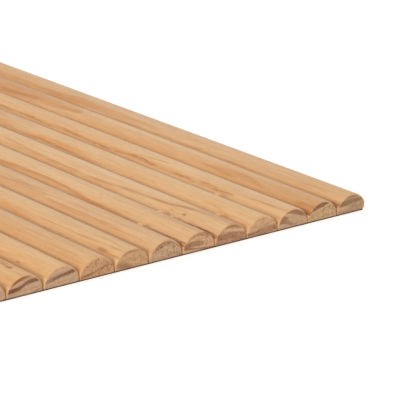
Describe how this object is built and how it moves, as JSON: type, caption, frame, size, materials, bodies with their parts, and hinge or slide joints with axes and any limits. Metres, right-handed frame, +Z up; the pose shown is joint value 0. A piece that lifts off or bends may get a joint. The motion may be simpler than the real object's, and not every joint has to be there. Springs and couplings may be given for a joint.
{
  "type": "tambour panel",
  "caption": "Flexible tambour sheet: parallel half-round raw pine slats glued side by side on a thin dark cloth backing.",
  "frame": {"origin": "on the cloth's underside, below the middle of the panel", "axes": "+X along the slats, +Y across the slats, +Z up out of the round faces"},
  "size_m": [1.2192, 0.6094, 0.0095],
  "materials": {
    "slat_wood": "raw sanded pine",
    "backing_cloth": "dark woven canvas"
  },
  "bodies": {
    "root": {"slat_01": "slat_wood", "slat_02": "slat_wood", "slat_03": "slat_wood", "slat_04": "slat_wood", "slat_05": "slat_wood", "slat_06": "slat_wood", "slat_07": "slat_wood", "slat_08": "slat_wood", "slat_09": "slat_wood", "slat_10": "slat_wood", "slat_11": "slat_wood", "slat_12": "slat_wood", "slat_13": "slat_wood", "slat_14": "slat_wood", "slat_15": "slat_wood", "slat_16": "slat_wood", "slat_17": "slat_wood", "slat_18": "slat_wood", "slat_19": "slat_wood", "slat_20": "slat_wood", "slat_21": "slat_wood", "slat_22": "slat_wood", "slat_23": "slat_wood", "slat_24": "slat_wood", "slat_25": "slat_wood", "slat_26": "slat_wood", "slat_27": "slat_wood", "slat_28": "slat_wood", "slat_29": "slat_wood", "slat_30": "slat_wood", "slat_31": "slat_wood", "slat_32": "slat_wood", "canvas_backing": "backing_cloth"}
  },
  "joints": []
}
